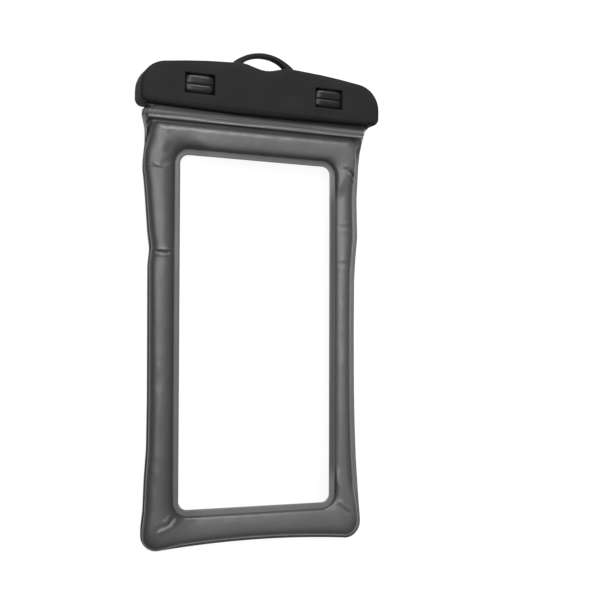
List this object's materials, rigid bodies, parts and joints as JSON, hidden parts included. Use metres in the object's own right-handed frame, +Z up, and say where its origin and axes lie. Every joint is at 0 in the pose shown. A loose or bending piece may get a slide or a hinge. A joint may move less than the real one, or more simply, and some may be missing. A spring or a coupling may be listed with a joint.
{
  "type": "waterproof phone pouch",
  "caption": "Flat waterproof phone pouch with clear windows in an inflated border, closed by a hinged clip with twist latches and a lanyard loop.",
  "frame": {"origin": "centre of the bounding box on the surface the pouch lies on", "axes": "+X across the pouch, +Y from the closed end to the clip and its loop, +Z up out of the front face"},
  "size_m": [0.1174, 0.2282, 0.0144],
  "materials": {
    "grey_film": "satin grey film",
    "clear_film": "clear film",
    "black_plastic": "satin black",
    "liner_plastic": "matte black",
    "latch_plastic": "gloss black",
    "seal_rubber": "soft matte",
    "pin_steel": "drawn steel"
  },
  "bodies": {
    "pouch": {"front_air_chamber": "grey_film", "back_air_chamber": "grey_film", "front_window": "clear_film", "back_window": "clear_film", "back_jaw_cover": "black_plastic", "back_jaw_liner": "liner_plastic", "seal_gasket": "seal_rubber"},
    "front_jaw": {"front_mouth_strip": "grey_film", "front_jaw_cover": "black_plastic", "front_jaw_liner": "liner_plastic", "latch_pin_left": "pin_steel", "latch_pin_right": "pin_steel"},
    "latch_left_cam": {"latch_left": "latch_plastic"},
    "latch_right_cam": {"latch_right": "latch_plastic"}
  },
  "joints": [
    {"name": "front_jaw_hinge", "type": "hinge", "parent": "pouch", "child": "front_jaw", "pos_m": [0, 0.08075, 0.0102], "axis": [1, 0, 0], "range_deg": [0, 50]},
    {"name": "latch_left_turn", "type": "hinge", "parent": "front_jaw", "child": "latch_left_cam", "pos_m": [-0.03175, 0.0951, 0.00975], "axis": [-1, 0, 0], "range_deg": [0, 50]},
    {"name": "latch_right_turn", "type": "hinge", "parent": "front_jaw", "child": "latch_right_cam", "pos_m": [0.03175, 0.0951, 0.00975], "axis": [-1, 0, 0], "range_deg": [0, 50]}
  ]
}
